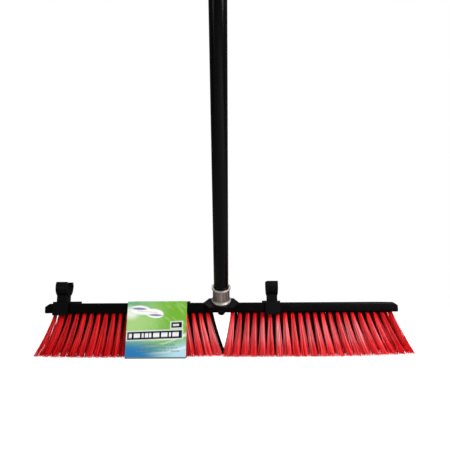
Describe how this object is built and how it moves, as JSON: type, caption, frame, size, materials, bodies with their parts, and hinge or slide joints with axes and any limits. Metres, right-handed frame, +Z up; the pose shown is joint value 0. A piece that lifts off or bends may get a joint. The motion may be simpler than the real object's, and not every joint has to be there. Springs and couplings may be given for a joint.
{
  "type": "push broom",
  "caption": "Wide push broom with fanned red and black tufts, a leaning screw-in handle in two sections, packing clips and a printed card sleeve.",
  "frame": {"origin": "on the floor under the middle of the head, at the tips of the bristles", "axes": "+X along the head, +Z up from the floor; the handle leans towards -Y, where the user stands"},
  "size_m": [0.6488, 0.7602, 1.152],
  "materials": {
    "head_plastic": "satin",
    "clip_plastic": "satin",
    "cap_plastic": "matte",
    "red_filament": "satin",
    "black_filament": "satin",
    "printed_card": "satin",
    "washer_plastic": "matte",
    "collar_metal": "satin",
    "handle_paint": "gloss",
    "insert_plastic": "satin"
  },
  "bodies": {
    "head": {"head_block": "head_plastic", "tuft_row_left_1": "red_filament", "tuft_row_left_2": "black_filament", "tuft_row_left_3": "black_filament", "tuft_row_left_4": "black_filament", "tuft_row_left_5": "red_filament", "tuft_row_right_1": "red_filament", "tuft_row_right_2": "black_filament", "tuft_row_right_3": "black_filament", "tuft_row_right_4": "black_filament", "tuft_row_right_5": "red_filament", "card_sleeve": "printed_card"},
    "washer_lower": {"seat_washer": "washer_plastic"},
    "handle_lower": {"threaded_collar": "collar_metal", "lower_tube": "handle_paint", "joint_socket": "insert_plastic"},
    "washer_upper": {"joint_washer": "washer_plastic"},
    "handle_upper": {"joint_stud": "insert_plastic", "upper_tube": "handle_paint", "end_cap": "cap_plastic"},
    "left_clip": {"clip_left": "clip_plastic"},
    "right_clip": {"clip_right": "clip_plastic"}
  },
  "joints": [
    {"name": "seat_lift", "type": "slide", "parent": "head", "child": "washer_lower", "axis": [0, -0.5446, 0.8387], "range_m": [0, 0.02032]},
    {"name": "handle_screw", "type": "hinge", "parent": "washer_lower", "child": "handle_lower", "pos_m": [0, -0.0239, 0.0912], "axis": [0, -0.5446, 0.8387], "range_deg": [0, 1440]},
    {"name": "joint_lift", "type": "slide", "parent": "handle_lower", "child": "washer_upper", "axis": [0, -0.5446, 0.8387], "range_m": [0, 0.012]},
    {"name": "section_screw", "type": "hinge", "parent": "washer_upper", "child": "handle_upper", "pos_m": [0, -0.36267, 0.61285], "axis": [0, -0.5446, 0.8387], "range_deg": [0, 1080]},
    {"name": "left_clip_slide", "type": "slide", "parent": "head", "child": "left_clip", "axis": [1, 0, 0], "range_m": [-0.012, 0.08]},
    {"name": "right_clip_slide", "type": "slide", "parent": "head", "child": "right_clip", "axis": [1, 0, 0], "range_m": [-0.04, 0.2]}
  ],
  "couplings": [
    {"joint": "handle_screw", "follows": "seat_lift", "rad_per_m": 1236.8},
    {"joint": "section_screw", "follows": "joint_lift", "rad_per_m": 1570.8}
  ]
}
